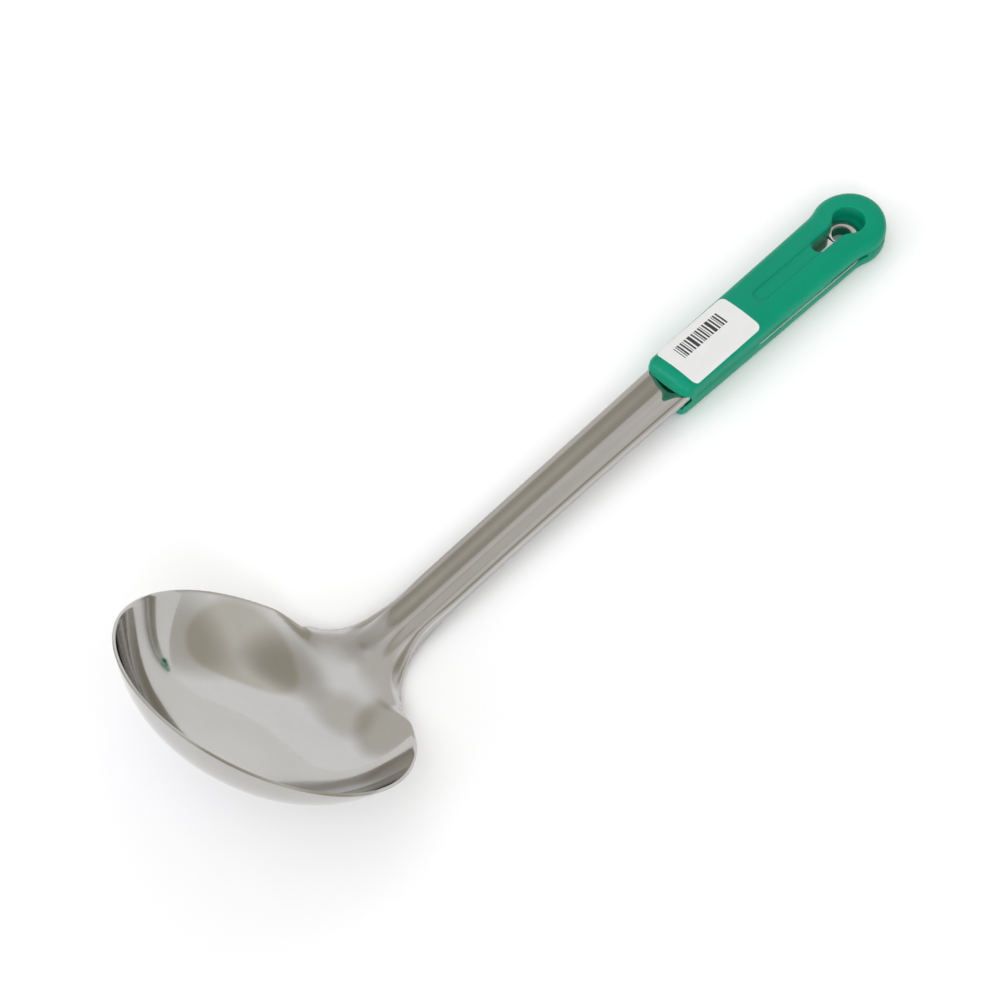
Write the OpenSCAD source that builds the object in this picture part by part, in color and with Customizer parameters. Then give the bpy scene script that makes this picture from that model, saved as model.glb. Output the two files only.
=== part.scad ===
// Soup ladle with a pressed steel bowl and stem and a two-shell plastic grip.
// It lies on a flat surface, on the underside of its bowl and the end of its grip.
// Drawn with x along the stem, from the bowl to the grip, and z = 0 at the surface it lies on.

/* [Bowl] */
// outside diameter of the rim
bowl_d = 120; // [100:1:140]
// inside depth below the rim plane
bowl_depth = 24.6; // [22:0.1:30]
// how full the side of the bowl is, as the power of its profile
bowl_fullness = 3.74; // [3:0.01:4.2]
// how much deeper it is toward the handle, as a slope
bowl_lean = 0.026; // [0:0.001:0.04]
// slope of the rim plane while the ladle lies down
bowl_tilt = 38.15; // [35:0.05:41]
// distance from the rim plane's centre to the handle side where the neck begins
neck_start = 53; // [51:0.5:54]
// length over which the neck narrows to the stem
neck_length = 20; // [16:0.5:24]

/* [Stem] */
// thickness of the steel sheet
sheet_t = 1.2; // [0.8:0.1:1.5]
// width beside the neck
stem_w_neck = 19.4; // [17:0.1:20]
// width at the grip
stem_w_grip = 21.5; // [20:0.1:21.6]
// height of the two ridges at the neck
ridge_z_neck = 7.9; // [7.6:0.1:8.4]
// height of the two ridges at the grip
ridge_z_grip = 10.9; // [10.7:0.1:11.2]
// how far the stem arches between them
stem_arch = 0.5; // [0:0.1:1]
// depth of the trough between the ridges
trough_depth = 2.4; // [1.5:0.1:2.5]
// how far the edges are turned down below the ridges
edge_drop = 3; // [2.4:0.1:3.2]
// how much further they are turned down beside the neck
edge_dip = 3; // [1:0.1:3.4]
// radius over the turned-down edges
edge_r = 2.2; // [2:0.1:3]

/* [Tang] */
// height of its upper face, where the two shells meet
part_z = 7.1; // [6.5:0.1:8]
// where it is quite flat and begins to widen
tang_flat_x = 236; // [230:1:237]
// its end, under the keyhole
tang_end_x = 299.3; // [296:0.1:300]
// how far its edges lie inside the sides of the grip
tang_edge_in = 0.1; // [0:0.05:0.3]
// diameter of the two holes that the pegs go through
peg_hole_d = 4.4; // [4.2:0.1:5]

/* [Hanging plate] */
// centre of its hole
hole_x = 304.9; // [304:0.1:306]
// diameter of its hole
hole_d = 8.4; // [7:0.1:9]
// diameter of the plate
plate_d = 14.4; // [13:0.1:16]
// gap between the tang's end and the plate
plate_gap = 0.55; // [0.3:0.05:1]

/* [Grip] */
// front of the upper shell
upper_x = 197; // [195:0.5:200]
// front of the lower shell
lower_x = 193.8; // [190:0.1:195]
// half width at the front
grip_half_front = 11.4; // [11.3:0.05:12.3]
// half width before the ring
grip_half_back = 13.5; // [12.6:0.05:14.4]
// where the sides begin to swell into the ring
flare_x = 296.8; // [293:0.1:299]
// centre of the round end
ring_x = 308.9; // [306:0.1:311]
// radius of the round end
ring_r = 15.5; // [14.6:0.1:17]
// height of the top at the front
top_z_front = 17; // [15.8:0.1:18]
// height of the top at the round end
top_z_back = 13.6; // [13:0.1:17]
// how far the top curves down to its sides at the front
crown_front = 1.2; // [0.5:0.1:3]
// how far the top curves down to its sides at the round end
crown_back = 1; // [0.5:0.1:3]
// rounding along the upper sides
upper_r = 3.2; // [2:0.1:3.5]
// rounding over the front of the upper shell
upper_front_r = 5; // [3:0.1:6]
// rounding along the lower sides
lower_r = 2.8; // [1.5:0.1:3.5]
// rounding under the front of the lower shell
lower_front_r = 4.5; // [3:0.1:6]

/* [Keyhole and channel] */
// centre of the wide end of the keyhole
key_x = 308.5; // [306:0.1:309]
// radius of its wide end
key_r = 6.7; // [5.5:0.1:7.5]
// its narrow end
key_start_x = 287; // [284:0.5:292]
// half width of its narrow end
key_half = 3.1; // [2.5:0.1:4]
// radius of the hollow curves between its two ends
key_fillet = 10; // [3:0.5:12]
// round end of the channel
channel_x = 250.5; // [246:0.5:256]
// half width of the channel
channel_half = 3.1; // [2.5:0.1:3.5]
// depth of the channel
channel_depth = 0.7; // [0.3:0.1:1]

/* [Label] */
// from the front of the upper shell to the label
label_from = 5.3; // [5:0.1:8]
// length along the grip
label_length = 39.8; // [30:0.1:42]
// width over the curved top
label_w = 21.6; // [16:0.1:22]
// radius of its corners
label_corner = 2.5; // [1:0.1:4]
// thickness
label_t = 0.15; // [0.1:0.05:0.3]

/* [Fits] */
// gap between the edge of a steel piece and its pocket
pocket_gap = 0.15; // [0.1:0.05:0.3]
// gap around a peg in its socket
peg_gap = 0.1; // [0.05:0.05:0.2]
// gap over the stem where it enters the grip
mouth_gap = 0.4; // [0.1:0.05:0.5]
// gap that opens above the tang's edge toward the round end
side_gap = 0.55; // [0.2:0.05:0.8]

/* [Hidden] */
$fn = 64;
past = 0.5;
steel = [0.78, 0.77, 0.75];
green = [0.05, 0.57, 0.44];
white = [0.94, 0.94, 0.94];

// the whole ladle is centred over the origin
ring_end_x = ring_x + ring_r;
rim_r = bowl_d / 2 - 0.82 * sheet_t;

function smooth(v) = v <= 0 ? 0 : v >= 1 ? 1 : v * v * (3 - 2 * v);
function mix(a, b, k) = a + (b - a) * k;

// The blade is drawn over the rim plane: u runs along that plane to the handle, y across it, and h is the
// height over it. The stem's own heights are turned into heights over the same plane. Beside the neck the wall
// of the bowl runs out softly instead of ending at the rim.
soft_share = 0.3;
soft_from = 46;
soft_over = 8;
function run_out(w, r) = w <= 1 - r ? w : w >= 1 + r ? 1 : 1 - pow(1 + r - w, 2) / (4 * r);
function bowl_h(u, y) =
    let(
        q = norm([u, y]) / rim_r,
        w = run_out(pow(q, bowl_fullness), soft_share * smooth((u - soft_from) / soft_over))
    )
    -bowl_depth * (1 - w) - bowl_lean * u * (1 - pow(min(1, q), 2));
function height_over_rim(u, z) = (z - rim_z + u * sin(bowl_tilt)) / cos(bowl_tilt);
function along(x, z) = (x - rim_x + tan(bowl_tilt) * (rim_z - z)) * cos(bowl_tilt);
function stem_x(u) = rim_x + u / cos(bowl_tilt) - tan(bowl_tilt) * (rim_z - part_z);
function from_rim(u, y, h) = [
    rim_x + u * cos(bowl_tilt) + h * sin(bowl_tilt),
    y,
    rim_z - u * sin(bowl_tilt) + h * cos(bowl_tilt)
];

// The underside of the bowl along its middle, counted from the centre of the rim plane, shows how high that
// centre lies over the surface and where the tip ends.
step = 0.01;
function underside(u) =
    let(
        slope = (bowl_h(u + step, 0) - bowl_h(u - step, 0)) / (2 * step),
        share = sheet_t / norm([1, slope]),
        a = u + share * slope,
        h = bowl_h(u, 0) - share
    )
    [a * cos(bowl_tilt) + h * sin(bowl_tilt), h * cos(bowl_tilt) - a * sin(bowl_tilt)];
rim_x = -20.1;
rim_z = -min([for (u = [30:0.1:54]) underside(u).y]);
tip_x = rim_x + min([for (u = [-rim_r + 2 * step:0.1:-40]) underside(u).x]);
centre_x = (tip_x + ring_end_x) / 2;

// half width of the sheet: the round rim, then the neck, the stem and the tang; neck_slope and neck_bend
// shape the hollow curve of the neck
neck_slope = 0.4;
neck_bend = 1.7;
stem_from_x = 60;
flat_from_x = 204;
function along_stem(x) = max(0, min(x, upper_x) - stem_from_x) / (upper_x - stem_from_x);
function grip_side(x) = mix(grip_half_front, grip_half_back, (x - upper_x) / (flare_x - upper_x));
function tang_half(x) = grip_side(x) - tang_edge_in;
function narrow_half(x) =
    x < tang_flat_x ? mix(stem_w_neck, stem_w_grip, pow(along_stem(x), 2)) / 2
    : mix(stem_w_grip / 2, tang_half(x), (x - tang_flat_x) / (plate_from_x - tang_flat_x));
neck_half = sqrt(rim_r * rim_r - neck_start * neck_start);
function half_width(u) =
    let(d = max(0, u - neck_start) / neck_length)
    u < neck_start ? sqrt(max(0, rim_r * rim_r - u * u))
    : narrow_half(stem_x(u)) + (neck_half - stem_w_neck / 2) * exp(-d * (neck_slope + neck_bend * d));

// cross-section of the stem: trough, ridge, rounded edge and turned-down side; where the neck flares, the
// ridges follow it only by a share, and what lies outside them widens
ridge_at = 0.72;
bend_at = 0.93;
ridge_flare = 0.25;
function section_y(t, half, narrow) =
    let(
        a = abs(t),
        ridge = narrow - edge_r + ridge_flare * max(0, half - narrow),
        turn = min(90, 90 * (a - ridge_at) / (bend_at - ridge_at))
    )
    sign(t) * (a <= ridge_at ? ridge * a / ridge_at : ridge + (half - ridge) * sin(turn));
function section_h(t) =
    let(a = abs(t))
    a <= ridge_at ? -trough_depth * (1 + cos(180 * a / ridge_at)) / 2
    : a <= bend_at ? -edge_r * (1 - cos(90 * (a - ridge_at) / (bend_at - ridge_at)))
    : -mix(edge_r, edge_drop, (a - bend_at) / (1 - bend_at));

// 0 in the bowl and 1 in the stem, over a longer way in the middle than at the sides
middle_from = 48;
middle_over = 28;
edge_from = 50;
edge_over = 26;
function stem_part(u, t) =
    smooth((u - mix(middle_from, edge_from, t * t)) / mix(middle_over, edge_over, t * t));
// how far the edge is turned down beside the neck, besides its drop
dip_from = 75;
dip_over = 18;
function dip(u, t) =
    edge_dip * (1 - smooth((u - dip_from) / dip_over)) * max(0, (abs(t) - ridge_at) / (1 - ridge_at));
// 0 in the stem and 1 in the flat tang
function flat_part(x) = smooth((x - flat_from_x) / (tang_flat_x - flat_from_x));

function ridge_z(x) =
    let(a = along_stem(x))
    mix(ridge_z_neck, ridge_z_grip, a) + 4 * stem_arch * a * (1 - a);
function sheet_point(u, t) =
    let(
        x = stem_x(u),
        half = half_width(u),
        k = stem_part(u, t),
        f = flat_part(x),
        y_wide = t * half,
        y_stem = section_y(t, half, min(half, narrow_half(x))),
        y = mix(mix(y_wide, y_stem, k), y_wide, f),
        z_stem = mix(ridge_z(x) + section_h(t) - dip(u, t), part_z, f),
        h = mix(bowl_h(u, y), height_over_rim(u, z_stem), k)
    )
    from_rim(u, y, h);
function sheet_normal(u, t) =
    let(
        a = sheet_point(u + step, t) - sheet_point(u - step, t),
        b = sheet_point(u, min(1, t + step)) - sheet_point(u, max(-1, t - step)),
        c = cross(a, b)
    )
    c / norm(c);

// rows of the blade, from the bowl's tip to the start of the flat tang, and columns across it
plate_from_x = 240;
neck_end_x = 66;
first_turn = 2;
bowl_rows = [for (i = [0:27]) -rim_r * cos(mix(first_turn, acos(-neck_start / rim_r), i / 28))];
neck_rows = [for (i = [0:15]) mix(neck_start, along(neck_end_x, part_z), i / 16)];
stem_rows = [for (i = [0:6]) along(mix(neck_end_x, flat_from_x, i / 7), part_z)];
flat_rows = [for (i = [0:8]) along(mix(flat_from_x, tang_flat_x, i / 8), part_z)];
rows = concat(bowl_rows, neck_rows, stem_rows, flat_rows, [along(plate_from_x, part_z)]);
half_columns = [0.1, 0.2, 0.3, 0.4, 0.5, 0.6, 0.67, 0.72, 0.79, 0.86, 0.93, 1];
columns = concat([for (i = [len(half_columns) - 1:-1:0]) -half_columns[i]], [0], half_columns);

// faces of a closed sheet: an upper and a lower grid of nr rows and nc columns with its four edges
function sheet_faces(nr, nc) =
    let(n = nr * nc)
    concat(
        [for (i = [0:nr - 2], j = [0:nc - 2]) let(a = i * nc + j) each
            [[a, a + 1, a + nc + 1], [a, a + nc + 1, a + nc]]],
        [for (i = [0:nr - 2], j = [0:nc - 2]) let(a = n + i * nc + j) each
            [[a, a + nc + 1, a + 1], [a, a + nc, a + nc + 1]]],
        [for (i = [0:nr - 2]) let(a = i * nc, b = a + nc) each
            [[a, b, n + b], [a, n + b, n + a]]],
        [for (i = [0:nr - 2]) let(a = i * nc + nc - 1, b = a + nc) each
            [[a, n + b, b], [a, n + a, n + b]]],
        [for (j = [0:nc - 2]) each
            [[j, n + j + 1, j + 1], [j, n + j, n + j + 1]]],
        [for (j = [0:nc - 2]) let(a = (nr - 1) * nc + j) each
            [[a, a + 1, n + a + 1], [a, n + a + 1, n + a]]]
    );

module pressed_sheet() {
    upper = [for (u = rows, t = columns) sheet_point(u, t)];
    lower = [for (u = rows, t = columns) sheet_point(u, t) - sheet_t * sheet_normal(u, t)];
    polyhedron(concat(upper, lower), sheet_faces(len(rows), len(columns)));
}

peg_xs = [250, 278];

module tang_plate() {
    translate([0, 0, part_z - sheet_t])
    linear_extrude(sheet_t)
    difference() {
        polygon([
            [plate_from_x, -tang_half(plate_from_x)],
            [tang_end_x, -tang_half(tang_end_x)],
            [tang_end_x, tang_half(tang_end_x)],
            [plate_from_x, tang_half(plate_from_x)]
        ]);
        for (x = peg_xs) translate([x, 0]) circle(d = peg_hole_d);
    }
}

module blade() {
    color(steel)
    translate([-centre_x, 0, 0]) {
        pressed_sheet();
        tang_plate();
    }
}

module hanging_plate() {
    color(steel)
    translate([hole_x - centre_x, 0, part_z - sheet_t])
    difference() {
        cylinder(h = sheet_t, d = plate_d);
        translate([0, 0, -past]) cylinder(h = sheet_t + 2 * past, d = hole_d);
        translate([tang_end_x + plate_gap - hole_x - plate_d, -plate_d / 2, -past])
            cube([plate_d, plate_d, sheet_t + 2 * past]);
    }
}

// half width of a shell whose front is at front_x, with its front corners rounded
function front_share(x, front_x, front_r) = max(0, front_x + front_r - x) / front_r;
// a hollow curve leads from the straight side into the ring
swell_x = ring_x - flare_x;
swell_r = (pow(swell_x, 2) + pow(grip_half_back, 2) - pow(ring_r, 2)) / 2 / (ring_r - grip_half_back);
swell_y = grip_half_back + swell_r;
swell_end_x = ring_x - swell_x * ring_r / (ring_r + swell_r);
function grip_outline(x) =
    x < flare_x ? grip_side(x)
    : x < swell_end_x ? swell_y - sqrt(swell_r * swell_r - pow(x - flare_x, 2))
    : sqrt(max(0, ring_r * ring_r - pow(x - ring_x, 2)));
function shell_half(x, front_x, side_r, front_r) =
    grip_outline(x) - side_r * (1 - sqrt(1 - pow(front_share(x, front_x, front_r), 2)));

// how far the outer face turns away toward the sides, the round end and the front
function edge_distance(x, y) =
    x < flare_x ? grip_side(x) - abs(y)
    : x < flare_x + swell_x * (1 - abs(y) / swell_y) ? norm([x - flare_x, swell_y - abs(y)]) - swell_r
    : ring_r - norm([x - ring_x, y]);
function turned(x, y, front_x, side_r, front_r) =
    let(
        a = max(0, side_r - edge_distance(x, y)) / side_r,
        b = front_share(x, front_x, front_r),
        r = a + b == 0 ? 0 : (side_r * a * a + front_r * b * b) / (a * a + b * b)
    )
    r * (1 - sqrt(max(0, 1 - a * a - b * b)));
crown_at = 12;
function top_line(x) = mix(top_z_front, top_z_back, (x - upper_x) / (ring_end_x - upper_x));
function crown(x) = mix(crown_front, crown_back, (x - upper_x) / (ring_end_x - upper_x));
function top_z(x, y) =
    top_line(x) - crown(x) * pow(y / crown_at, 2) - turned(x, y, upper_x, upper_r, upper_front_r);
function bottom_z(x, y) = turned(x, y, lower_x, lower_r, lower_front_r);

// rows and columns of a shell's outer face: the upper one is curved right across, the lower one is flat below
function shell_rows(front_x, front_r) = concat(
    [for (i = [0:6]) front_x + front_r * (1 - cos(15 * i))],
    [for (i = [1:9]) mix(front_x + front_r, flare_x, i / 9)],
    [for (i = [1:7]) mix(flare_x, ring_x, i / 7)],
    [for (i = [1:11]) ring_x + ring_r * sin(8 * i)]
);
upper_columns = [for (i = [-9:9]) sin(10 * i)];
lower_columns = [-1, -0.985, -0.94, -0.87, -0.77, 0.77, 0.87, 0.94, 0.985, 1];

// A shell is closed by its flat side at part_z. Facing is 1 for the upper shell and -1 for the lower one.
module shell_body(front_x, side_r, front_r, facing) {
    xs = shell_rows(front_x, front_r);
    nr = len(xs);
    columns = facing > 0 ? upper_columns : lower_columns;
    nc = len(columns);
    n = nr * nc;
    outer = [for (x = xs, t = columns)
        let(y = t * shell_half(x, front_x, side_r, front_r))
        [x, y, facing > 0 ? top_z(x, y) : bottom_z(x, y)]];
    flat = [for (x = xs, t = [-1, 1]) [x, t * shell_half(x, front_x, side_r, front_r), part_z]];
    faces = concat(
        [for (i = [0:nr - 2], j = [0:nc - 2]) let(a = i * nc + j) each
            [[a, a + 1, a + nc + 1], [a, a + nc + 1, a + nc]]],
        [for (i = [0:nr - 2]) let(b = n + 2 * i) each [[b, b + 3, b + 1], [b, b + 2, b + 3]]],
        [for (i = [0:nr - 2]) let(a = i * nc, b = n + 2 * i) each
            [[a, a + nc, b + 2], [a, b + 2, b]]],
        [for (i = [0:nr - 2]) let(a = i * nc + nc - 1, b = n + 2 * i + 1) each
            [[a, b + 2, a + nc], [a, b, b + 2]]],
        [[n, n + 1, nc - 1]],
        [for (j = [0:nc - 2]) [n, j + 1, j]],
        [[n + 2 * nr - 1, n + 2 * nr - 2, n - nc]],
        [for (j = [n - nc:n - 2]) [n + 2 * nr - 1, j, j + 1]]
    );
    polyhedron(
        concat(outer, flat),
        facing > 0 ? faces : [for (f = faces) [for (i = [len(f) - 1:-1:0]) f[i]]]
    );
}

module keyhole_outline() {
    offset(r = -key_fillet) offset(delta = key_fillet) {
        translate([key_x, 0]) circle(r = key_r);
        translate([key_start_x + key_half, 0]) circle(r = key_half);
        translate([key_start_x + key_half, -key_half]) square([key_x - key_start_x - key_half, 2 * key_half]);
    }
}

module channel() {
    slope = atan((top_z_front - top_z_back) / (ring_end_x - upper_x));
    translate([channel_x, 0, top_line(channel_x)])
    rotate([0, slope, 0])
    translate([0, 0, -channel_depth]) {
        translate([channel_half, 0, 0]) cylinder(h = 2, r = channel_half);
        translate([channel_half, -channel_half, 0]) cube([key_start_x - channel_x, 2 * channel_half, 2]);
    }
}

// room for the stem inside the front of the upper shell: its lip hangs a little over the trough and follows
// the ridges and the rounded edges, and behind it the roof comes down with the ridges
lip_bow = 1.4;
function lip_h(t) = abs(t) <= ridge_at ? -lip_bow * (1 - pow(t / ridge_at, 2)) : section_h(t);
roof_from_x = 208;
roof_to_x = 237;
module stem_room() {
    half = stem_w_grip / 2 + mouth_gap;
    roof_z = ridge_z_grip + mouth_gap;
    translate([upper_x - past, 0, 0])
    rotate([90, 0, 90])
    linear_extrude(flat_from_x - upper_x + past)
    polygon(concat(
        [[-half, part_z - past]],
        [for (t = columns) [section_y(t, half, half), roof_z + lip_h(t)]],
        [[half, part_z - past]]
    ));
    rotate([90, 0, 0])
    translate([0, 0, -half])
    linear_extrude(2 * half)
    polygon([
        [flat_from_x - past, part_z - past],
        [flat_from_x - past, roof_z],
        [roof_from_x, roof_z],
        [roof_to_x, part_z],
        [roof_to_x, part_z - past]
    ]);
}

// the gap above each edge of the tang, which opens toward the round end
gap_from_x = 262;
gap_full_x = 290;
gap_end_x = 304.6;
gap_inner = 8.5;
module side_gaps() {
    for (s = [-1, 1])
        translate([0, s < 0 ? -gap_inner : ring_r + past, 0])
        rotate([90, 0, 0])
        linear_extrude(ring_r + past - gap_inner)
        polygon([
            [gap_from_x, part_z - past],
            [gap_from_x, part_z],
            [gap_full_x, part_z + side_gap],
            [gap_end_x, part_z + side_gap],
            [gap_end_x, part_z - past]
        ]);
}

peg_d = 4;
peg_end_z = 2.6;
module grip_upper() {
    color(green)
    translate([-centre_x, 0, 0]) {
        difference() {
            shell_body(upper_x, upper_r, upper_front_r, 1);
            translate([0, 0, part_z - past]) linear_extrude(top_z_front) keyhole_outline();
            channel();
            stem_room();
            side_gaps();
        }
        for (x = peg_xs)
            translate([x, 0, peg_end_z]) cylinder(h = part_z - peg_end_z + past, d = peg_d);
    }
}

// the pocket that the tang and the hanging plate lie in
module pocket() {
    translate([0, 0, part_z - sheet_t])
    linear_extrude(sheet_t + past) {
        polygon([
            [lower_x - past, -stem_w_grip / 2 - pocket_gap],
            [tang_flat_x - pocket_gap, -stem_w_grip / 2 - pocket_gap],
            [plate_from_x - pocket_gap, -tang_half(plate_from_x) - pocket_gap],
            [plate_from_x - pocket_gap, tang_half(plate_from_x) + pocket_gap],
            [tang_flat_x - pocket_gap, stem_w_grip / 2 + pocket_gap],
            [lower_x - past, stem_w_grip / 2 + pocket_gap]
        ]);
        translate([plate_from_x - past, -ring_r - past])
            square([gap_end_x - plate_from_x + past, 2 * (ring_r + past)]);
        translate([hole_x, 0]) circle(d = plate_d + 2 * pocket_gap);
    }
}

lower_hole_d = 10.4;
module grip_lower() {
    color(green)
    translate([-centre_x, 0, 0])
    difference() {
        shell_body(lower_x, lower_r, lower_front_r, -1);
        pocket();
        translate([hole_x, 0, -past]) cylinder(h = part_z + 2 * past, d = lower_hole_d);
        for (x = peg_xs)
            translate([x, 0, peg_end_z - 2 * peg_gap])
                cylinder(h = part_z, d = peg_d + 2 * peg_gap);
    }
}

// the label follows the top of the upper shell
label_x = upper_x + label_from;
function label_half(x) =
    let(e = min(x - label_x, label_x + label_length - x), c = max(0, label_corner - e))
    label_w / 2 - label_corner + sqrt(max(0, label_corner * label_corner - c * c));
label_rows = concat(
    [for (i = [0:5]) label_x + label_corner * (1 - cos(18 * i))],
    [for (i = [1:7]) mix(label_x + label_corner, label_x + label_length - label_corner, i / 8)],
    [for (i = [5:-1:0]) label_x + label_length - label_corner * (1 - cos(18 * i))]
);
label_columns = [for (i = [-8:8]) i / 8];
label_lift = 0.02;
module paper_label() {
    color(white)
    translate([-centre_x, 0, label_lift]) {
        under = [for (x = label_rows, t = label_columns)
            let(y = t * label_half(x)) [x, y, top_z(x, y)]];
        over = [for (p = under) p + [0, 0, label_t]];
        polyhedron(concat(over, under), sheet_faces(len(label_rows), len(label_columns)));
    }
}

blade();
hanging_plate();
grip_upper();
grip_lower();
paper_label();
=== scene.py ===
import math

import bmesh
import bpy
from mathutils import Matrix, Vector


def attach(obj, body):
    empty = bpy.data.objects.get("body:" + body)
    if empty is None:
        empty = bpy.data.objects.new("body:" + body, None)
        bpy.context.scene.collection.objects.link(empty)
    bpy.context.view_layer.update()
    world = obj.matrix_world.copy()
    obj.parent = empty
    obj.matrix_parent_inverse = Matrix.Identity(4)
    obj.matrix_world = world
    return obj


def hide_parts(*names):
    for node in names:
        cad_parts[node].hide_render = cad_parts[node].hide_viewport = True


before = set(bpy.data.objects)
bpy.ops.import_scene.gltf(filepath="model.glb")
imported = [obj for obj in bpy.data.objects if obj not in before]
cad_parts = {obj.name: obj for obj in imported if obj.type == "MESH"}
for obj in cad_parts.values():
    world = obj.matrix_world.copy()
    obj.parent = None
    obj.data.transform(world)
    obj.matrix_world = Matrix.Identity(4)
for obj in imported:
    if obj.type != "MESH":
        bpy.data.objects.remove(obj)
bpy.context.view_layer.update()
print("frame loaded:", sorted(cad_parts))

# Sizes are in millimetres along the handle (x), across it (y) and up (z), as the CAD source draws them.
# middleX is where the whole ladle is centred, and everything is turned into metres at the end.
middleX = 128.22


# camera at the photograph's angle
camera = dict(aimX=117.25, aimY=14.51, turn=-46.34, tip=33.41, distance=1300, focal=119.76,
              sensor=36, near=0.05, far=30)

view = bpy.data.cameras.new("photoCamera")
view.lens = camera["focal"]
view.sensor_width = camera["sensor"]
view.clip_start = camera["near"]
view.clip_end = camera["far"]
viewObject = bpy.data.objects.new("photoCamera", view)
bpy.context.scene.collection.objects.link(viewObject)
turnAngle = math.radians(camera["turn"])
tipAngle = math.radians(camera["tip"])
backward = Vector((math.sin(tipAngle) * math.sin(turnAngle), -math.sin(tipAngle) * math.cos(turnAngle),
                   math.cos(tipAngle)))
aim = Vector((camera["aimX"] - middleX, camera["aimY"], 0))
viewObject.location = (aim + backward * camera["distance"]) / 1000
viewObject.rotation_euler = (tipAngle, 0, turnAngle)
bpy.context.scene.camera = viewObject
bpy.context.scene.view_settings.view_transform = "Standard"
print("camera placed")


def smooth(value):
    value = min(1, max(0, value))
    return value * value * (3 - 2 * value)


def mix(first, second, share):
    return first + (second - first) * share


# nodes


def addNode(tree, kind, **settings):
    node = tree.nodes.new(kind)
    for key, value in settings.items():
        setattr(node, key, value)
    return node


def setInputs(node, **values):
    for name, value in values.items():
        node.inputs[name.replace("_", " ")].default_value = value


# soft blotches and fine grain, shared by steel, plastic and paper
def makeGrainGroup():
    tree = bpy.data.node_groups.new("surfaceGrain", "ShaderNodeTree")
    tree.interface.new_socket("Vector", in_out="INPUT", socket_type="NodeSocketVector")
    defaults = (("Blotch Scale", 40), ("Grain Scale", 900), ("Grain Share", 0.3), ("Low", 0), ("High", 1))
    for name, value in defaults:
        tree.interface.new_socket(name, in_out="INPUT", socket_type="NodeSocketFloat").default_value = value
    tree.interface.new_socket("Value", in_out="OUTPUT", socket_type="NodeSocketFloat")
    tree.interface.new_socket("Height", in_out="OUTPUT", socket_type="NodeSocketFloat")
    start = addNode(tree, "NodeGroupInput")
    end = addNode(tree, "NodeGroupOutput")
    blotch = addNode(tree, "ShaderNodeTexNoise")
    grain = addNode(tree, "ShaderNodeTexNoise")
    setInputs(blotch, Detail=3, Roughness=0.55)
    setInputs(grain, Detail=2, Roughness=0.6)
    both = addNode(tree, "ShaderNodeMix", data_type="FLOAT")
    spread = addNode(tree, "ShaderNodeMapRange")
    setInputs(spread, From_Min=0.3, From_Max=0.7)
    for node, scale in ((blotch, "Blotch Scale"), (grain, "Grain Scale")):
        tree.links.new(start.outputs["Vector"], node.inputs["Vector"])
        tree.links.new(start.outputs[scale], node.inputs["Scale"])
    tree.links.new(start.outputs["Grain Share"], both.inputs[0])
    tree.links.new(blotch.outputs["Fac"], both.inputs[2])
    tree.links.new(grain.outputs["Fac"], both.inputs[3])
    tree.links.new(both.outputs[0], spread.inputs["Value"])
    tree.links.new(start.outputs["Low"], spread.inputs["To Min"])
    tree.links.new(start.outputs["High"], spread.inputs["To Max"])
    tree.links.new(spread.outputs["Result"], end.inputs["Value"])
    tree.links.new(grain.outputs["Fac"], end.inputs["Height"])
    return tree


grainGroup = makeGrainGroup()


def newMaterial(name):
    material = bpy.data.materials.new(name)
    material.use_nodes = True
    tree = material.node_tree
    shader = tree.nodes["Principled BSDF"]
    place = addNode(tree, "ShaderNodeTexCoord")
    return material, tree, shader, place


def addGrain(tree, source, blotch, grain, share, low, high):
    node = addNode(tree, "ShaderNodeGroup", node_tree=grainGroup)
    tree.links.new(source, node.inputs["Vector"])
    setInputs(node, Blotch_Scale=blotch, Grain_Scale=grain, Grain_Share=share, Low=low, High=high)
    return node


def addStretch(tree, source, scale):
    node = addNode(tree, "ShaderNodeMapping")
    node.inputs["Scale"].default_value = scale
    tree.links.new(source, node.inputs["Vector"])
    return node.outputs["Vector"]


def blendColours(tree, factor, first, second):
    node = addNode(tree, "ShaderNodeMix", data_type="RGBA")
    node.inputs[6].default_value = (*first, 1)
    node.inputs[7].default_value = (*second, 1)
    tree.links.new(factor, node.inputs[0])
    return node.outputs[2]


def addBump(tree, shader, height, strength, distance):
    bump = addNode(tree, "ShaderNodeBump")
    setInputs(bump, Strength=strength, Distance=distance)
    tree.links.new(height, bump.inputs["Height"])
    tree.links.new(bump.outputs["Normal"], shader.inputs["Normal"])


# polished stainless steel: faint polishing lines along the stem, smudges and fine scratches
steelLook = dict(light=(0.5, 0.49, 0.47), dull=(0.45, 0.44, 0.42), roughLow=0.05, roughHigh=0.1,
                 stretch=(0.06, 1, 1), polish=(500, 2600, 0.5), smudge=(26, 400, 0.15), bump=(0.03, 0.00001))


def makeSteel(name, look):
    material, tree, shader, place = newMaterial(name)
    coordinates = place.outputs["Object"]
    lines = addStretch(tree, coordinates, look["stretch"])
    polish = addGrain(tree, lines, *look["polish"], look["roughLow"], look["roughHigh"])
    smudge = addGrain(tree, coordinates, *look["smudge"], 0, 1)
    tree.links.new(blendColours(tree, smudge.outputs["Value"], look["light"], look["dull"]),
                   shader.inputs["Base Color"])
    tree.links.new(polish.outputs["Value"], shader.inputs["Roughness"])
    shader.inputs["Metallic"].default_value = 1
    addBump(tree, shader, polish.outputs["Height"], *look["bump"])
    return material


# moulded plastic: a fine satin grain with slightly uneven gloss
plasticLook = dict(colour=(0.001, 0.27, 0.155), deep=(0.001, 0.235, 0.134), roughLow=0.2, roughHigh=0.28,
                   shine=0.13, ior=1.47, tone=(35, 700, 0.2), gloss=(60, 2200, 0.5), bump=(0.12, 0.00004))


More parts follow.
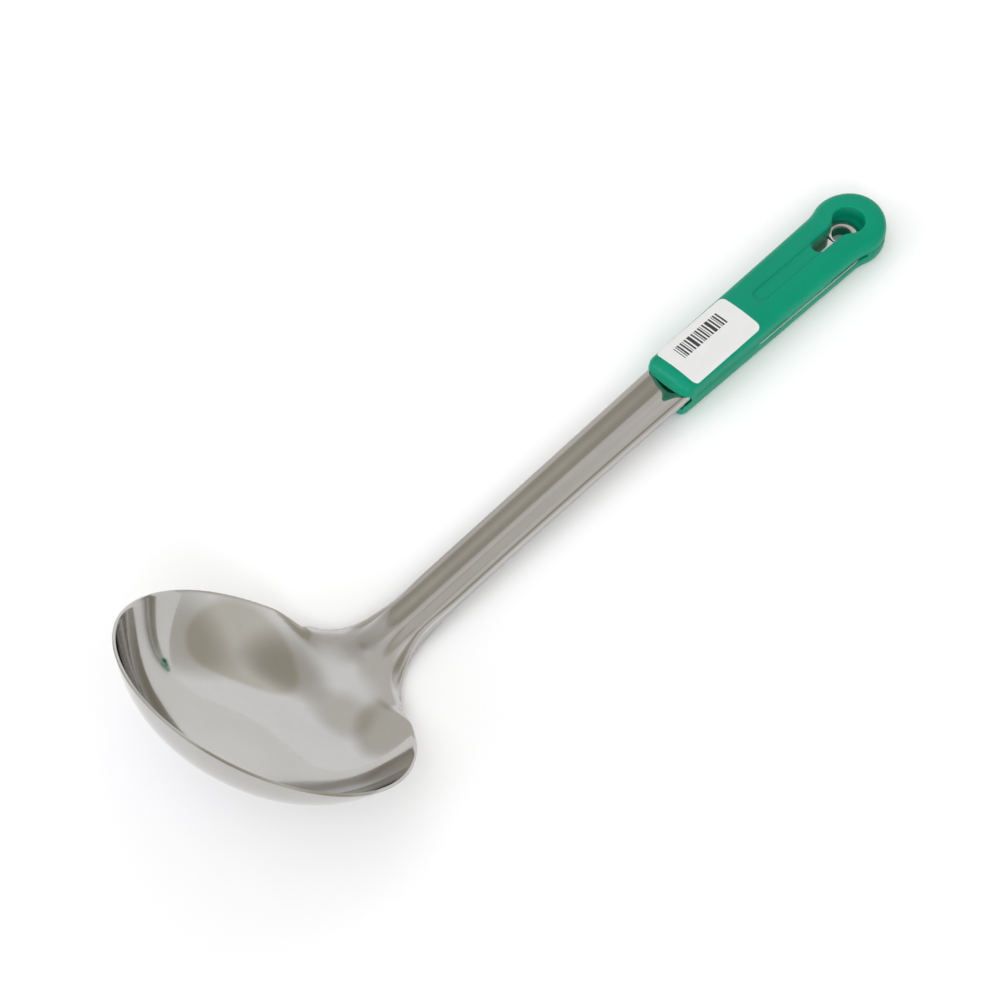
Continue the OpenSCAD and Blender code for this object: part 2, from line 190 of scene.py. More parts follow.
def makePlastic(name, look):
    material, tree, shader, place = newMaterial(name)
    coordinates = place.outputs["Object"]
    tone = addGrain(tree, coordinates, *look["tone"], 0, 1)
    gloss = addGrain(tree, coordinates, *look["gloss"], look["roughLow"], look["roughHigh"])
    tree.links.new(blendColours(tree, tone.outputs["Value"], look["colour"], look["deep"]),
                   shader.inputs["Base Color"])
    tree.links.new(gloss.outputs["Value"], shader.inputs["Roughness"])
    shader.inputs["IOR"].default_value = look["ior"]
    shader.inputs["Specular IOR Level"].default_value = look["shine"]
    addBump(tree, shader, gloss.outputs["Height"], *look["bump"])
    return material


def addMath(tree, operation, *values):
    node = addNode(tree, "ShaderNodeMath", operation=operation)
    for index, value in enumerate(values):
        if isinstance(value, (int, float)):
            node.inputs[index].default_value = value
        else:
            tree.links.new(value, node.inputs[index])
    return node.outputs[0]


# coated label paper, a little warmer along its fibres, with a block of plain bars that stand for nothing
paperLook = dict(colour=(0.74, 0.74, 0.74), shade=(0.7, 0.7, 0.69), roughLow=0.4, roughHigh=0.55,
                 ink=(0.02, 0.02, 0.022), barsX=0.0932, barsY=0.0035, barsLength=0.0258, barsWidth=0.0066,
                 pitch=0.0021, secondPitch=0.00131, cutOff=-0.1, stretch=(0.3, 1, 1), fibre=(300, 3000, 0.5),
                 gloss=(90, 1500, 0.4), bump=(0.1, 0.00003))


def makeBars(tree, coordinates, look):
    parts = addNode(tree, "ShaderNodeSeparateXYZ")
    tree.links.new(coordinates, parts.inputs[0])
    x = parts.outputs["X"]
    wide = addMath(tree, "SINE", addMath(tree, "MULTIPLY", x, 2 * math.pi / look["pitch"]))
    fine = addMath(tree, "SINE", addMath(tree, "MULTIPLY", x, 2 * math.pi / look["secondPitch"]))
    bars = addMath(tree, "GREATER_THAN", addMath(tree, "ADD", wide, fine), look["cutOff"])
    inX = addMath(tree, "COMPARE", x, look["barsX"], look["barsLength"] / 2)
    inY = addMath(tree, "COMPARE", parts.outputs["Y"], look["barsY"], look["barsWidth"] / 2)
    return addMath(tree, "MULTIPLY", bars, addMath(tree, "MULTIPLY", inX, inY))


def makePaper(name, look):
    material, tree, shader, place = newMaterial(name)
    coordinates = place.outputs["Object"]
    along = addStretch(tree, coordinates, look["stretch"])
    fibre = addGrain(tree, along, *look["fibre"], 0, 1)
    gloss = addGrain(tree, coordinates, *look["gloss"], look["roughLow"], look["roughHigh"])
    sheet = blendColours(tree, fibre.outputs["Value"], look["colour"], look["shade"])
    printed = blendColours(tree, makeBars(tree, coordinates, look), look["colour"], look["ink"])
    tree.links.new(sheet, printed.node.inputs[6])
    tree.links.new(printed, shader.inputs["Base Color"])
    tree.links.new(gloss.outputs["Value"], shader.inputs["Roughness"])
    addBump(tree, shader, fibre.outputs["Height"], *look["bump"])
    return material


steel = makeSteel("polishedSteel", steelLook)
plastic = makePlastic("greenPlastic", plasticLook)
paper = makePaper("labelPaper", paperLook)
print("materials made")


# modelling helpers


# Half of a symmetrical face. Its rows run inwards from the outline to the middle line or a hole.
def makeHalf(rows, columns, place):
    bm = bmesh.new()
    bmesh.ops.create_grid(bm, x_segments=len(rows) - 1, y_segments=columns - 1, size=1)
    for vert in bm.verts:
        row = round((vert.co.x + 1) / 2 * (len(rows) - 1))
        column = round((vert.co.y + 1) / 2 * (columns - 1))
        vert.co = place(rows[row], column)
    return bm


def joinHalves(bm):
    bmesh.ops.mirror(bm, geom=bm.verts[:] + bm.edges[:] + bm.faces[:], matrix=Matrix(),
                     merge_dist=0.001, axis="Y")
    bmesh.ops.remove_doubles(bm, verts=bm.verts[:], dist=0.0005)
    bmesh.ops.recalc_face_normals(bm, faces=bm.faces[:])
    if sum(face.normal.z * face.calc_area() for face in bm.faces) < 0:
        bmesh.ops.reverse_faces(bm, faces=bm.faces[:])


# gives a face its other side: a copy of it whose heights come from under(x, y)
def closeBelow(bm, under):
    made = bmesh.ops.extrude_face_region(bm, geom=bm.faces[:], use_keep_orig=True)
    fresh = [item for item in made["geom"] if isinstance(item, bmesh.types.BMVert)]
    for vert in fresh:
        vert.co.z = under(vert.co.x, vert.co.y)
    return fresh


def makePiece(name, bm, material, node, sharpAngle):
    bmesh.ops.translate(bm, vec=(-middleX, 0, 0), verts=bm.verts[:])
    bmesh.ops.scale(bm, vec=(0.001, 0.001, 0.001), verts=bm.verts[:])
    mesh = bpy.data.meshes.new(name)
    bm.to_mesh(mesh)
    bm.free()
    mesh.polygons.foreach_set("use_smooth", [True] * len(mesh.polygons))
    mesh.set_sharp_from_angle(angle=math.radians(sharpAngle))
    mesh.materials.append(material)
    piece = bpy.data.objects.new(name, mesh)
    bpy.context.scene.collection.objects.link(piece)
    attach(piece, "root")
    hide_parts(node)
    print(name, len(mesh.polygons), "faces")
    return piece


# blade: the pressed sheet of bowl, neck, stem and tang
bowl = dict(diameter=119.94, depth=24.6, fullness=3.74, lean=0.026, tilt=38.15, rimX=-20.1, rimZ=41.716,
            neckStart=53, neckLength=20, neckSlope=0.4, neckBend=1.7, softShare=0.3, softFrom=46,
            softOver=8, sheet=1.2, rimInset=0.82, rimRound=0.3)
stem = dict(fromX=60, widthNeck=19.4, widthGrip=21.5, ridgeNeck=7.9, ridgeGrip=10.9, arch=0.5, trough=2.4,
            edgeDrop=3, edgeDip=3, dipFrom=75, dipOver=18, edgeRadius=2.2, ridgeAt=0.72, bendAt=0.93,
            ridgeFlare=0.25, middleFrom=48, middleOver=28, edgeFrom=50, edgeOver=26)
tang = dict(z=7.1, flatFrom=204, flatTo=236, widenTo=240, end=299.3, edgeIn=0.1)
grip = dict(upperX=197, lowerX=193.8, halfFront=11.4, halfBack=13.5, flareX=296.8, ringX=308.9, ringR=15.49)

rimRadius = bowl["diameter"] / 2 - bowl["rimInset"] * bowl["sheet"]
tiltSin = math.sin(math.radians(bowl["tilt"]))
tiltCos = math.cos(math.radians(bowl["tilt"]))
ringEnd = grip["ringX"] + grip["ringR"]


def gripSide(x):
    return mix(grip["halfFront"], grip["halfBack"], (x - grip["upperX"]) / (grip["flareX"] - grip["upperX"]))


# beside the neck the wall of the bowl runs out softly instead of ending at the rim
def bowlHeight(u, y):
    share = math.hypot(u, y) / rimRadius
    wall = share ** bowl["fullness"]
    soft = bowl["softShare"] * smooth((u - bowl["softFrom"]) / bowl["softOver"])
    if wall >= 1 + soft:
        wall = 1
    elif wall > 1 - soft:
        wall = 1 - (1 + soft - wall) ** 2 / (4 * soft)
    return -bowl["depth"] * (1 - wall) - bowl["lean"] * u * (1 - min(1, share) ** 2)


def stemX(u):
    return bowl["rimX"] + u / tiltCos - tiltSin / tiltCos * (bowl["rimZ"] - tang["z"])


def alongRim(x):
    return (x - bowl["rimX"] + tiltSin / tiltCos * (bowl["rimZ"] - tang["z"])) * tiltCos


def alongStem(x):
    return max(0, min(x, grip["upperX"]) - stem["fromX"]) / (grip["upperX"] - stem["fromX"])


def narrowHalf(x):
    if x < tang["flatTo"]:
        return mix(stem["widthNeck"], stem["widthGrip"], alongStem(x) ** 2) / 2
    share = min(1, (x - tang["flatTo"]) / (tang["widenTo"] - tang["flatTo"]))
    return mix(stem["widthGrip"] / 2, gripSide(x) - tang["edgeIn"], share)


neckHalf = math.sqrt(rimRadius ** 2 - bowl["neckStart"] ** 2)


def sheetHalf(u):
    if u < bowl["neckStart"]:
        return math.sqrt(max(0, rimRadius ** 2 - u * u))
    d = (u - bowl["neckStart"]) / bowl["neckLength"]
    spread = math.exp(-d * (bowl["neckSlope"] + bowl["neckBend"] * d))
    return narrowHalf(stemX(u)) + (neckHalf - stem["widthNeck"] / 2) * spread


# trough, ridge, rounded edge and turned-down side of the stem's section
def sectionY(t, half, narrow):
    a = abs(t)
    ridge = narrow - stem["edgeRadius"] + stem["ridgeFlare"] * max(0, half - narrow)
    if a <= stem["ridgeAt"]:
        return math.copysign(ridge * a / stem["ridgeAt"], t)
    turn = min(1, (a - stem["ridgeAt"]) / (stem["bendAt"] - stem["ridgeAt"]))
    return math.copysign(ridge + (half - ridge) * math.sin(turn * math.pi / 2), t)


def sectionHeight(t):
    a = abs(t)
    if a <= stem["ridgeAt"]:
        return -stem["trough"] * (1 + math.cos(math.pi * a / stem["ridgeAt"])) / 2
    turn = (a - stem["ridgeAt"]) / (stem["bendAt"] - stem["ridgeAt"])
    if turn <= 1:
        return -stem["edgeRadius"] * (1 - math.cos(turn * math.pi / 2))
    return -mix(stem["edgeRadius"], stem["edgeDrop"], (a - stem["bendAt"]) / (1 - stem["bendAt"]))


def sheetPoint(u, t):
    x = stemX(u)
    half = sheetHalf(u)
    blendFrom = mix(stem["middleFrom"], stem["edgeFrom"], t * t)
    inStem = smooth((u - blendFrom) / mix(stem["middleOver"], stem["edgeOver"], t * t))
    flat = smooth((x - tang["flatFrom"]) / (tang["flatTo"] - tang["flatFrom"]))
    yWide = t * half
    yStem = sectionY(t, half, min(half, narrowHalf(x)))
    y = mix(mix(yWide, yStem, inStem), yWide, flat)
    a = alongStem(x)
    ridge = mix(stem["ridgeNeck"], stem["ridgeGrip"], a) + 4 * stem["arch"] * a * (1 - a)
    beyond = max(0, (abs(t) - stem["ridgeAt"]) / (1 - stem["ridgeAt"]))
    dip = stem["edgeDip"] * (1 - smooth((u - stem["dipFrom"]) / stem["dipOver"])) * beyond
    z = mix(ridge + sectionHeight(t) - dip, tang["z"], flat)
    h = mix(bowlHeight(u, y), (z - bowl["rimZ"] + u * tiltSin) / tiltCos, inStem)
    return Vector((bowl["rimX"] + u * tiltCos + h * tiltSin, y, bowl["rimZ"] - u * tiltSin + h * tiltCos))


# spacing of the blade's rows: they lean towards the bowl beside the neck
bladeGrid = dict(rimSteps=170, neckSteps=70, neckEndX=70, lag=30, lagOver=34, middleFrom=-40, middleTo=22)
straightParts = ((bladeGrid["neckEndX"], tang["flatFrom"], 60), (tang["flatFrom"], tang["flatTo"], 30),
                 (tang["flatTo"], tang["widenTo"], 4), (tang["widenTo"], tang["end"], 14))


# A row is (u on the outline, y on the outline, u where it meets the middle line).
def bladeRows():
    rows = []
    neckAngle = math.pi - math.acos(bowl["neckStart"] / rimRadius)
    rimSteps = bladeGrid["rimSteps"]
    for i in range(rimSteps):
        angle = neckAngle * i / rimSteps
        middle = mix(bladeGrid["middleFrom"], bladeGrid["middleTo"], i / rimSteps)
        rows.append((-rimRadius * math.cos(angle), rimRadius * math.sin(angle), middle))
    neckSteps = bladeGrid["neckSteps"]
    neckEnd = alongRim(bladeGrid["neckEndX"])
    for i in range(neckSteps):
        u = mix(bowl["neckStart"], neckEnd, i / neckSteps)
        lag = bladeGrid["lag"] * (1 - smooth((u - bowl["neckStart"]) / bladeGrid["lagOver"]))
        rows.append((u, sheetHalf(u), u - lag))
    for start, end, steps in straightParts:
        for i in range(steps):
            u = alongRim(mix(start, end, i / steps))
            rows.append((u, sheetHalf(u), u))
    u = alongRim(tang["end"])
    rows.append((u, sheetHalf(u), u))
    return rows


edgeShares = [0, 0.012, 0.03, 0.05, 0.07, 0.09, 0.11, 0.13, 0.15, 0.17, 0.19, 0.21, 0.235, 0.26, 0.28, 0.3]
bladeShares = edgeShares + [0.3 + 0.7 * i / 26 for i in range(1, 27)]


def placeOnBlade(row, column):
    share = bladeShares[column]
    u = mix(row[0], row[2], share)
    half = sheetHalf(u)
    y = row[1] * (1 - share)
    if column == 0:
        return sheetPoint(u, 1)
    return sheetPoint(u, min(1, y / half) if half > 0 else 0)


bladeMesh = makeHalf(bladeRows(), len(bladeShares), placeOnBlade)
joinHalves(bladeMesh)
blade = makePiece("bladeSheet", bladeMesh, steel, "blade", 60)
thickness = blade.modifiers.new("thickness", "SOLIDIFY")
thickness.thickness = bowl["sheet"] / 1000
thickness.offset = -1
rounding = blade.modifiers.new("rounding", "BEVEL")
rounding.width = bowl["rimRound"] / 1000
rounding.segments = 3
rounding.angle_limit = math.radians(60)


# hanging plate: a washer cut off straight in front of the tang
plate = dict(x=304.9, hole=8.4, outer=14.4, top=7.1, sheet=1.2, gap=0.55, edge=0.15, sides=96)


def makePlate():
    bm = bmesh.new()
    holeRing = bmesh.ops.create_circle(bm, radius=plate["hole"] / 2, segments=plate["sides"])
    outerRing = bmesh.ops.create_circle(bm, radius=plate["outer"] / 2, segments=plate["sides"])
    rings = set(holeRing["verts"]) | set(outerRing["verts"])
    bmesh.ops.bridge_loops(bm, edges=[edge for edge in bm.edges if set(edge.verts) <= rings])
    cut = tang["end"] + plate["gap"] - plate["x"]
    bmesh.ops.bisect_plane(bm, geom=bm.verts[:] + bm.edges[:] + bm.faces[:], plane_co=(cut, 0, 0),
                           plane_no=(-1, 0, 0), clear_outer=True)
    bmesh.ops.translate(bm, vec=(plate["x"], 0, plate["top"]), verts=bm.verts[:])
    closeBelow(bm, lambda x, y: plate["top"] - plate["sheet"])
    bmesh.ops.recalc_face_normals(bm, faces=bm.faces[:])
    rims = [edge for edge in bm.edges if edge.calc_face_angle(0) > math.radians(60)]
    bmesh.ops.bevel(bm, geom=rims, offset=plate["edge"], offset_type="OFFSET", affect="EDGES", segments=2,
                    profile=0.5, material=-1, clamp_overlap=True)
    return bm


makePiece("hangingPlate", makePlate(), steel, "hanging_plate", 40)


# grip: two moulded shells, the upper one with a keyhole and a channel
shell = dict(topFront=17, topBack=13.6, crownFront=1.2, crownBack=1, upperR=3.2, upperFrontR=5, lowerR=2.8,
             lowerFrontR=4.5, crownHalf=12, groove=0.15, fit=0.15)
keyhole = dict(x=308.5, radius=6.7, start=287, half=3.1, fillet=10, edge=1.1)
channel = dict(x=250.5, half=3.1, depth=0.7, soft=0.5)
mouth = dict(gap=0.4, bow=1.4, deepFrom=208, deepTo=237)
sideGap = dict(fromX=262, fullX=290, endX=304.6, height=0.55, inner=8.5)
lowerHole = dict(x=304.9, radius=5.2)

filletX = keyhole["x"] - math.sqrt((keyhole["radius"] + keyhole["fillet"]) ** 2
                                   - (keyhole["half"] + keyhole["fillet"]) ** 2)
filletY = keyhole["half"] + keyhole["fillet"]
filletTurn = math.atan2(filletY, filletX - keyhole["x"])
narrowX = keyhole["start"] + keyhole["half"]


# a hollow curve leads from the straight side into the ring
swellX = grip["ringX"] - grip["flareX"]
swellR = ((swellX ** 2 + grip["halfBack"] ** 2 - grip["ringR"] ** 2) / 2 / (grip["ringR"] - grip["halfBack"]))
swellY = grip["halfBack"] + swellR
swellEnd = grip["ringX"] - swellX * grip["ringR"] / (grip["ringR"] + swellR)


def gripHalf(x):
    if x < grip["flareX"]:
        return gripSide(x)
    if x < swellEnd:
        return swellY - math.sqrt(swellR ** 2 - (x - grip["flareX"]) ** 2)
    return math.sqrt(max(0, grip["ringR"] ** 2 - (x - grip["ringX"]) ** 2))


def edgeDistance(x, y):
    y = abs(y)
    if x < grip["flareX"]:
        return gripSide(x) - y
    if x < grip["flareX"] + swellX * (1 - y / swellY):
        return math.hypot(x - grip["flareX"], swellY - y) - swellR
    return grip["ringR"] - math.hypot(x - grip["ringX"], y)


# how far a shell's face turns away toward its sides, its round end and its front
def turnedAway(x, y, frontX, sideR, frontR):
    a = max(0, sideR - edgeDistance(x, y)) / sideR
    b = max(0, frontX + frontR - x) / frontR
    if a + b == 0:
        return 0
    radius = (sideR * a * a + frontR * b * b) / (a * a + b * b)
    return radius * (1 - math.sqrt(max(0, 1 - a * a - b * b)))


def topLine(x):
    return mix(shell["topFront"], shell["topBack"], (x - grip["upperX"]) / (ringEnd - grip["upperX"]))


def topHeight(x, y):
    crown = mix(shell["crownFront"], shell["crownBack"], (x - grip["upperX"]) / (ringEnd - grip["upperX"]))
    return (topLine(x) - crown * (y / shell["crownHalf"]) ** 2
            - turnedAway(x, y, grip["upperX"], shell["upperR"], shell["upperFrontR"]))


def keyholeDistance(x, y):
    y = abs(y)
    if math.atan2(y, x - keyhole["x"]) <= filletTurn:
        return math.hypot(x - keyhole["x"], y) - keyhole["radius"]
    if x < narrowX:
        return math.hypot(x - narrowX, y) - keyhole["half"]
    if x <= filletX:
        return y - keyhole["half"]
    return keyhole["fillet"] - math.hypot(x - filletX, y - filletY)


def channelInside(x, y):
    return channel["half"] - math.hypot(min(0, x - channel["x"] - channel["half"]), y)


def upperFace(x, y):
    z = topHeight(x, y)
    if x < keyhole["x"]:
        share = smooth((channelInside(x, y) + channel["soft"] / 2) / channel["soft"])
        z = mix(z, topLine(x) - channel["depth"], share)
    near = max(0, 1 - max(0, keyholeDistance(x, y)) / keyhole["edge"])
    z -= keyhole["edge"] * (1 - math.sqrt(1 - near * near))
    return z


# the lip hangs a little over the trough and follows the ridges and the rounded edges
def lipHeight(y):
    ridge = stem["widthGrip"] / 2 + mouth["gap"] - stem["edgeRadius"]
    top = stem["ridgeGrip"] + mouth["gap"]
    if abs(y) < ridge:
        return top - mouth["bow"] * (1 - (y / ridge) ** 2)
    return top - stem["edgeRadius"] + math.sqrt(max(0, stem["edgeRadius"] ** 2 - (abs(y) - ridge) ** 2))


def upperUnder(x, y):
    if abs(y) < stem["widthGrip"] / 2 + mouth["gap"] and x < mouth["deepTo"]:
        if x < tang["flatFrom"]:
            return lipHeight(y)
        share = (x - mouth["deepFrom"]) / (mouth["deepTo"] - mouth["deepFrom"])
        return mix(stem["ridgeGrip"] + mouth["gap"], tang["z"], min(1, max(0, share)))
    if abs(y) > sideGap["inner"] and x < sideGap["endX"]:
        share = (x - sideGap["fromX"]) / (sideGap["fullX"] - sideGap["fromX"])
        return tang["z"] + sideGap["height"] * min(1, max(0, share))
    return tang["z"]


def lowerFace(x, y):
    return turnedAway(x, y, grip["lowerX"], shell["lowerR"], shell["lowerFrontR"])


def lowerTop(x, y):
    deep = tang["z"] - bowl["sheet"]
    if x < tang["widenTo"]:
        return deep if abs(y) < stem["widthGrip"] / 2 + shell["fit"] else tang["z"]
    if x < sideGap["endX"] or math.hypot(x - plate["x"], y) < plate["outer"] / 2 + shell["fit"]:
        return deep
    return tang["z"]


def cornerPoint(angle, frontX, sideR, frontR):
    x = frontX + frontR * (1 - math.cos(angle))
    return x, gripHalf(x) - sideR * (1 - math.sin(angle))


# where the rows change their spacing: fan spreads them over the front, the others are places along the grip
fan = dict(start=9, first=1.2, second=1.8, end=12, frontSteps=16, cornerSteps=14)
upperOuter = dict(channelFrom=246, channelTo=256, keyFrom=283, keyRound=285.5, keySide=291)
upperInner = dict(channelFrom=248, channelTo=257, keyFrom=285)
lowerOuter = dict(holeFrom=290, holeRound=297)
lowerInner = dict(holeFrom=296)


# A row is (outer x, outer y, inner x, inner y, share of the hole's own column spacing).
def addRows(rows, steps, outer, inner, share):
    for i in range(steps):
        k = i / steps
        rows.append((*outer(k), *inner(k), share(k) if callable(share) else share))


def frontRows(frontX, sideR, frontR, innerX):
    rows = []
    frontHalf = cornerPoint(0, frontX, sideR, frontR)[1]
    addRows(rows, fan["frontSteps"], lambda k: (frontX, frontHalf * k),
            lambda k: (innerX + fan["first"] * k, 0), 0)
    addRows(rows, fan["cornerSteps"], lambda k: cornerPoint(math.pi / 2 * k, frontX, sideR, frontR),
            lambda k: (innerX + fan["first"] + fan["second"] * k, 0), 0)
    return rows


def outerAt(x):
    return x, gripHalf(x)


def circlePoint(x, y, radius, angle):
    return x + radius * math.cos(angle), y + radius * math.sin(angle)


def upperRows():
    frontX = grip["upperX"]
    rows = frontRows(frontX, shell["upperR"], shell["upperFrontR"], frontX + fan["start"])
    sideFrom = frontX + shell["upperFrontR"]
    narrow = keyhole["half"]
    wideFrom = math.radians(105)
    addRows(rows, 80, lambda k: outerAt(mix(sideFrom, upperOuter["channelFrom"], k)),
            lambda k: (mix(frontX + fan["end"], upperInner["channelFrom"], k), 0), 0)
    addRows(rows, 34, lambda k: outerAt(mix(upperOuter["channelFrom"], upperOuter["channelTo"], k)),
            lambda k: (mix(upperInner["channelFrom"], upperInner["channelTo"], k), 0), 0)
    addRows(rows, 50, lambda k: outerAt(mix(upperOuter["channelTo"], upperOuter["keyFrom"], k)),
            lambda k: (mix(upperInner["channelTo"], upperInner["keyFrom"], k), 0), 0)
    addRows(rows, 14, lambda k: outerAt(mix(upperOuter["keyFrom"], upperOuter["keyRound"], k)),
            lambda k: (mix(upperInner["keyFrom"], keyhole["start"], math.sin(k * math.pi / 2)), 0),
            lambda k: k)
    addRows(rows, 20, lambda k: outerAt(mix(upperOuter["keyRound"], upperOuter["keySide"], k)),
            lambda k: circlePoint(narrowX, 0, narrow, math.pi * (1 - k / 2)), 1)
    addRows(rows, 20, lambda k: outerAt(mix(upperOuter["keySide"], grip["flareX"], k)),
            lambda k: (mix(narrowX, filletX, k), narrow), 1)
    addRows(rows, 16, lambda k: outerAt(mix(grip["flareX"], swellEnd, k)),
            lambda k: circlePoint(filletX, filletY, keyhole["fillet"],
                                  mix(-math.pi / 2, filletTurn - math.pi, k)), 1)
    addRows(rows, 14, lambda k: outerAt(mix(swellEnd, grip["ringX"], k)),
            lambda k: circlePoint(keyhole["x"], 0, keyhole["radius"], mix(filletTurn, wideFrom, k)), 1)
    addRows(rows, 48, lambda k: circlePoint(grip["ringX"], 0, grip["ringR"], mix(math.pi / 2, 0, k)),
            lambda k: circlePoint(keyhole["x"], 0, keyhole["radius"], mix(wideFrom, 0, k)), 1)
    rows.append((ringEnd, 0, keyhole["x"] + keyhole["radius"], 0, 1))
    return rows


def lowerRows():
    frontX = grip["lowerX"]
    rows = frontRows(frontX, shell["lowerR"], shell["lowerFrontR"], frontX + fan["start"])
    sideFrom = frontX + shell["lowerFrontR"]
    holeFrom = lowerHole["x"] - lowerHole["radius"]
    quarter = math.pi / 2
    addRows(rows, 60, lambda k: outerAt(mix(sideFrom, lowerOuter["holeFrom"], k)),
            lambda k: (mix(frontX + fan["end"], lowerInner["holeFrom"], k), 0), 0)
    addRows(rows, 12, lambda k: outerAt(mix(lowerOuter["holeFrom"], lowerOuter["holeRound"], k)),
            lambda k: (mix(lowerInner["holeFrom"], holeFrom, k), 0), lambda k: k)
    addRows(rows, 24, lambda k: outerAt(mix(lowerOuter["holeRound"], grip["ringX"], k)),
            lambda k: circlePoint(lowerHole["x"], 0, lowerHole["radius"], mix(math.pi, quarter, k)), 1)
    addRows(rows, 40, lambda k: circlePoint(grip["ringX"], 0, grip["ringR"], mix(quarter, 0, k)),
            lambda k: circlePoint(lowerHole["x"], 0, lowerHole["radius"], mix(quarter, 0, k)), 1)
    rows.append((ringEnd, 0, lowerHole["x"] + lowerHole["radius"], 0, 1))
    return rows


# columns by their distance from the outline, and near the middle by their distance from the row's inner end
roundingTurns = [0, 22, 33, 44, 55, 66, 78, 90]
channelColumns = [4.3, 3.8, 3.55, 3.4, 3.28, 3.16, 3.04, 2.92, 2.8, 2.5, 2.0, 1.4, 0.7, 0]
holeColumns = [2.6, 2.1, 1.7, 1.35, 1.1, 0.9, 0.7, 0.52, 0.37, 0.24, 0.14, 0.06, 0.015, 0]
plainSteps = 10


def shellColumns(length, share, sideR):
    near = [sideR * (1 - math.cos(math.radians(turn))) for turn in roundingTurns]
    far = [length - mix(a, b, share) for a, b in zip(channelColumns, holeColumns)]
    plain = [mix(near[-1], far[0], i / plainSteps) for i in range(1, plainSteps)]
    return near + plain + far


def shellPlace(sideR, face):
    def place(row, column):
        outerX, outerY, innerX, innerY, share = row
        length = math.hypot(outerX - innerX, outerY - innerY)
        part = shellColumns(length, share, sideR)[column] / length
        x = mix(outerX, innerX, part)
        y = mix(outerY, innerY, part)
        return Vector((x, y, face(x, y)))
    return place


columnCount = len(roundingTurns) + plainSteps - 1 + len(channelColumns)


# a narrow groove along the parting line: the wall stops short and its last edge leans in
def cutGroove(fresh, frontX, frontR, direction):
    walls = {}
    for vert in fresh:
        x, y = vert.co.x, vert.co.y
        if x > frontX + frontR and edgeDistance(x, y) < 0.005:
            for edge in vert.link_edges:
                other = edge.other_vert(vert)
                upright = abs(other.co.x - x) < 1e-5 and abs(other.co.y - y) < 1e-5
                if upright and abs(other.co.z - vert.co.z) > 0.5:
                    walls[edge] = vert
    for edge, vert in walls.items():
        made = bmesh.utils.edge_split(edge, vert, 0.5)[1]
        made.co.z = vert.co.z + direction * shell["groove"]
    for vert in set(walls.values()):
        centre = Vector((min(vert.co.x, grip["ringX"]), 0, vert.co.z))
        inward = (centre - vert.co).normalized()
        vert.co += inward * shell["groove"]


def makeShell(rows, sideR, face, under, frontX, frontR, direction):
    bm = makeHalf(rows, columnCount, shellPlace(sideR, face))
    joinHalves(bm)
    fresh = closeBelow(bm, under)
    bmesh.ops.recalc_face_normals(bm, faces=bm.faces[:])
    cutGroove(fresh, frontX, frontR, direction)
    return bm


upperMesh = makeShell(upperRows(), shell["upperR"], upperFace, upperUnder,
                      grip["upperX"], shell["upperFrontR"], 1)
makePiece("gripUpperShell", upperMesh, plastic, "grip_upper", 35)
lowerMesh = makeShell(lowerRows(), shell["lowerR"], lowerFace, lowerTop,
                      grip["lowerX"], shell["lowerFrontR"], -1)
makePiece("gripLowerShell", lowerMesh, plastic, "grip_lower", 35)


# paper label over the curved top
label = dict(x=202.3, length=39.8, width=21.6, corner=2.5, thickness=0.15, lift=0.02,
             columns=24, rows=24, cornerRows=10)


def labelHalf(x):
    near = min(x - label["x"], label["x"] + label["length"] - x)
    c = max(0, label["corner"] - near)
    return label["width"] / 2 - label["corner"] + math.sqrt(max(0, label["corner"] ** 2 - c * c))


def placeOnLabel(x, column):
    y = labelHalf(x) * math.sin(math.pi / 2 * column / label["columns"])
    return Vector((x, y, topHeight(x, y) + label["lift"] + label["thickness"]))


def makeLabel():
    last = label["x"] + label["length"]
    turn = math.pi / (2 * label["cornerRows"])
    rounded = [label["corner"] * (1 - math.cos(turn * i)) for i in range(label["cornerRows"])]
    plain = [mix(label["x"] + label["corner"], last - label["corner"], i / label["rows"])
             for i in range(label["rows"] + 1)]
    xs = [label["x"] + r for r in rounded] + plain + [last - r for r in reversed(rounded)]
    bm = makeHalf(xs, label["columns"] + 1, placeOnLabel)
    joinHalves(bm)
    closeBelow(bm, lambda x, y: topHeight(x, y) + label["lift"])
    bmesh.ops.recalc_face_normals(bm, faces=bm.faces[:])
    return bm


makePiece("paperLabel", makeLabel(), paper, "paper_label", 40)


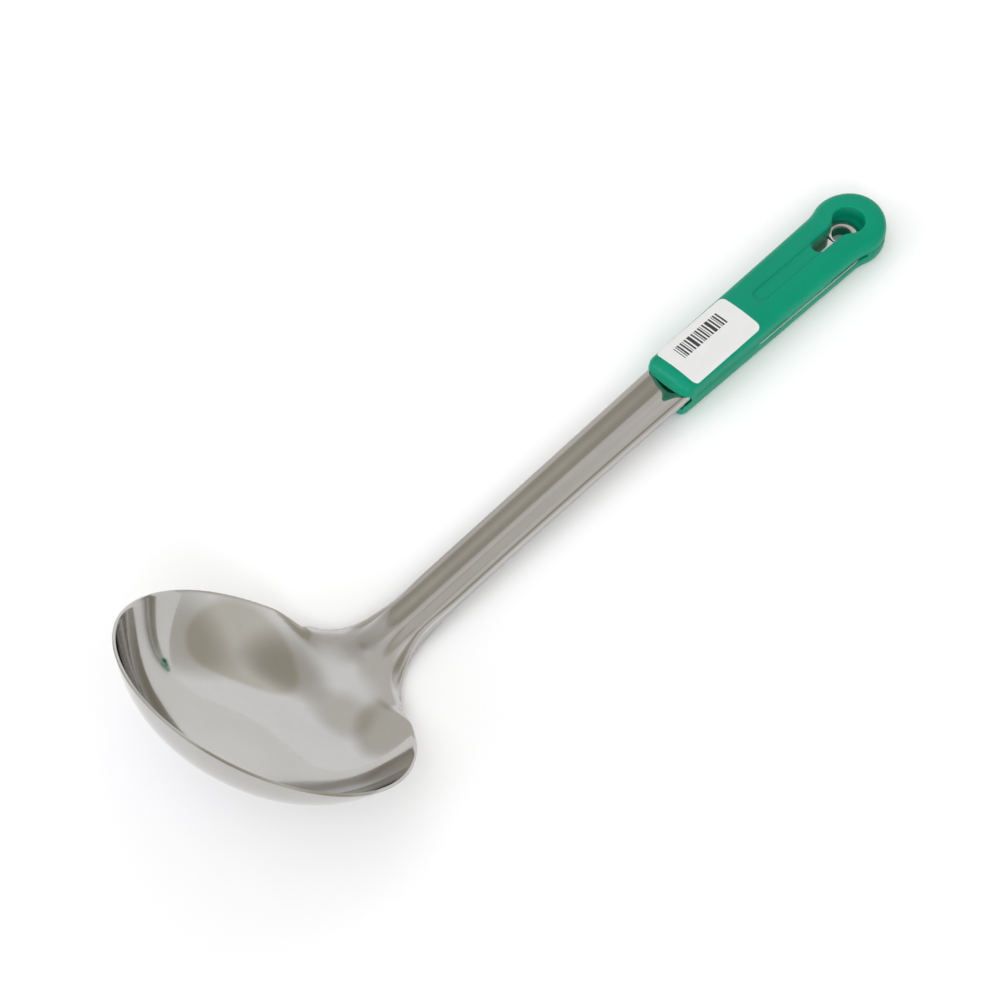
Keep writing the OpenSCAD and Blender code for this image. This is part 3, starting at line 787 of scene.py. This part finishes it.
# studio: a pale floor, and a soft white surround with a few broad cards that darken or brighten it
studio = dict(floor=(0.96, 0.96, 0.96), floorRough=0.9, floorRadius=4, surround=(1.16, 1.17, 1.205))
cards = [
    dict(name="handleRight", direction=(0.58, -0.41, 0.71), inner=31, outer=37, colour=(0.78, 0.76, 0.69)),
    dict(name="overhead", direction=(0.3, -0.1, 0.95), inner=2, outer=34, colour=(0.56, 0.54, 0.49)),
    dict(name="lowRight", direction=(0.85, -0.5, 0.2), inner=0, outer=36, colour=(0.62, 0.605, 0.55)),
    dict(name="handleLeft", direction=(0.02, 0.95, 0.3), inner=20, outer=32, colour=(0.66, 0.64, 0.58)),
    dict(name="join", direction=(0.3, 0.6, 0.74), inner=8, outer=26, colour=(0.74, 0.72, 0.67)),
    dict(name="nearSoft", direction=(-0.58, -0.59, 0.53), inner=6, outer=16, colour=(4.5, 4.5, 4.5)),
    dict(name="bowlSoft", direction=(-0.81, 0.38, 0.37), inner=6, outer=16, colour=(4, 4, 4)),
]


def makeFloor():
    bm = bmesh.new()
    bmesh.ops.create_circle(bm, cap_ends=True, radius=studio["floorRadius"], segments=64)
    mesh = bpy.data.meshes.new("paleFloor")
    bm.to_mesh(mesh)
    bm.free()
    material, _, shader, _ = newMaterial("paleFloor")
    shader.inputs["Base Color"].default_value = (*studio["floor"], 1)
    shader.inputs["Roughness"].default_value = studio["floorRough"]
    mesh.materials.append(material)
    floor = bpy.data.objects.new("paleFloor", mesh)
    bpy.context.scene.collection.objects.link(floor)


def makeSurround():
    world = bpy.data.worlds.new("softSurround")
    world.use_nodes = True
    tree = world.node_tree
    background = tree.nodes["Background"]
    place = addNode(tree, "ShaderNodeTexCoord")
    total = addNode(tree, "ShaderNodeRGB").outputs[0]
    total.default_value = (*studio["surround"], 1)
    for card in cards:
        direction = Vector(card["direction"]).normalized()
        dot = addNode(tree, "ShaderNodeVectorMath", operation="DOT_PRODUCT")
        dot.inputs[1].default_value = direction
        tree.links.new(place.outputs["Generated"], dot.inputs[0])
        ramp = addNode(tree, "ShaderNodeMapRange", interpolation_type="SMOOTHSTEP")
        ramp.inputs["From Min"].default_value = math.cos(math.radians(card["outer"]))
        ramp.inputs["From Max"].default_value = math.cos(math.radians(card["inner"]))
        ramp.inputs["To Max"].default_value = 1
        tree.links.new(dot.outputs["Value"], ramp.inputs["Value"])
        shade = addNode(tree, "ShaderNodeMix", data_type="RGBA", blend_type="MULTIPLY", label=card["name"])
        shade.inputs[7].default_value = (*card["colour"], 1)
        tree.links.new(ramp.outputs["Result"], shade.inputs[0])
        tree.links.new(total, shade.inputs[6])
        total = shade.outputs[2]
    tree.links.new(total, background.inputs["Color"])
    bpy.context.scene.world = world


makeFloor()
makeSurround()
print("studio lit")
